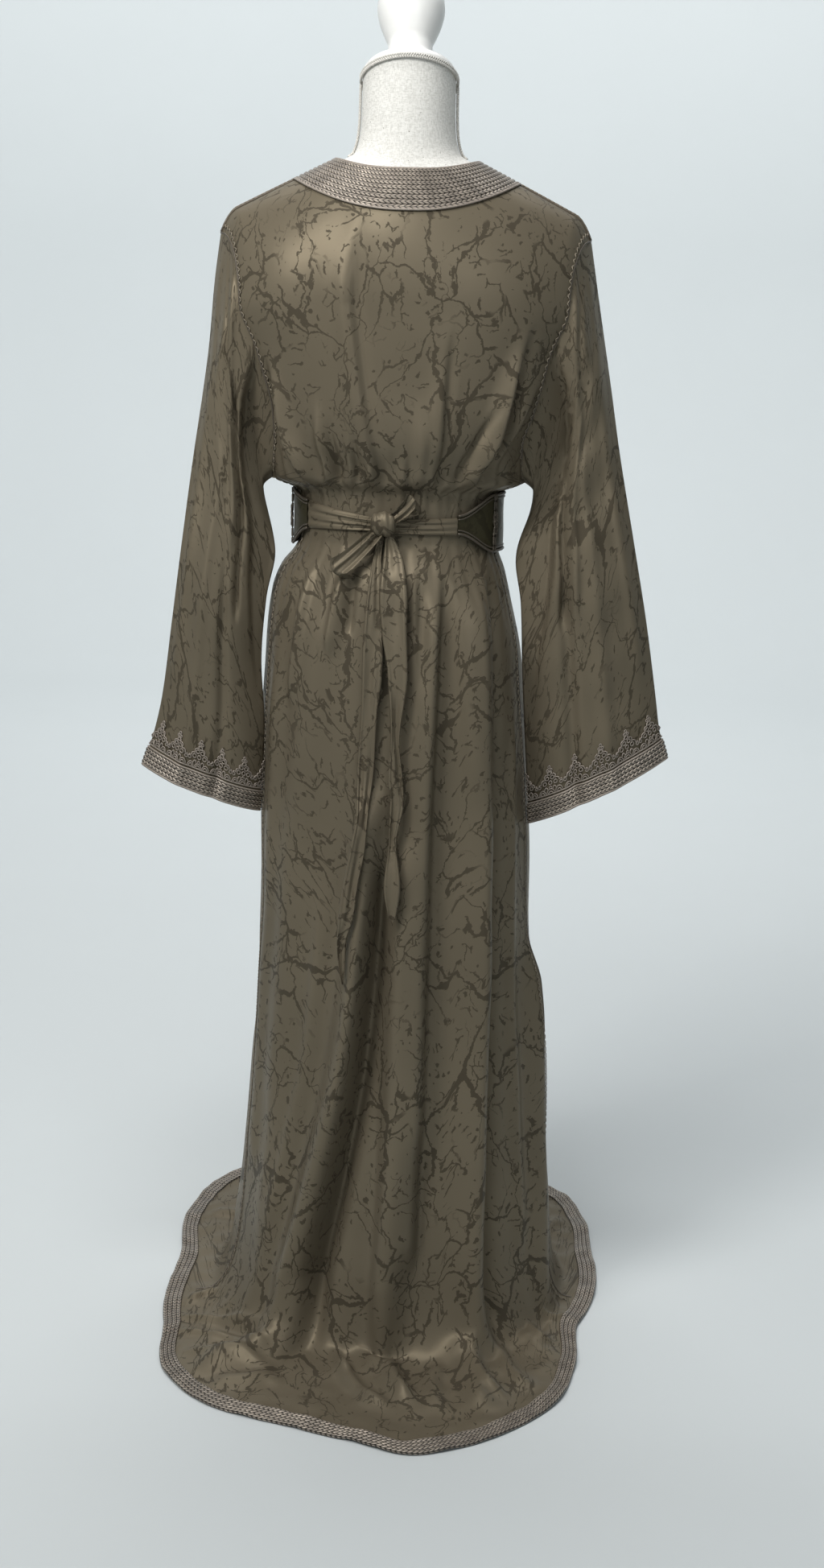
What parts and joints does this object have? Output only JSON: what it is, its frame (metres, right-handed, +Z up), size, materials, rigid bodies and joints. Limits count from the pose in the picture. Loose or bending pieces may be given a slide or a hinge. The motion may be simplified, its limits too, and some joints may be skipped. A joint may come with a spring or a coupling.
{
  "type": "moroccan kaftan on a dress form",
  "caption": "Floor-length silk satin kaftan with wide sleeves, braided bands and a stiff belt tied in a bow at the back, worn by a limbless dress form.",
  "frame": {"origin": "centre of the underside of the form's round base, on the floor under the form's axis", "axes": "+Z up, +X towards the wearer's right side, +Y the way the wearer faces; the back with the bow faces -Y"},
  "size_m": [0.6464, 0.7767, 1.6235],
  "materials": {
    "satin": "grey-olive silk satin woven with a dark branching pattern",
    "braid": "silver-pink metal thread braid and embroidery",
    "linen": "off-white linen",
    "gimp": "white gimp braid",
    "white_paint": "turned wood painted white",
    "steel": "brushed"
  },
  "bodies": {
    "root": {"back": "satin", "front_right": "satin", "front_left": "satin", "sleeve_left": "satin", "sleeve_right": "satin", "belt": "satin", "belt_tie_right": "satin", "belt_tie_left": "satin", "bow_knot": "satin", "bow_loop_upper": "satin", "bow_loop_lower": "satin", "bow_tail_right": "satin", "bow_tail_left": "satin", "neck_band": "braid", "hem_band": "braid", "cuff_band_left": "braid", "cuff_crest_left": "braid", "cuff_band_right": "braid", "cuff_crest_right": "braid", "form_torso": "linen", "form_neck_braid": "gimp", "form_seam_braid_left": "gimp", "form_seam_braid_right": "gimp", "form_neck_cap": "white_paint", "form_finial": "white_paint", "form_base": "steel", "form_pole": "steel"}
  },
  "joints": []
}
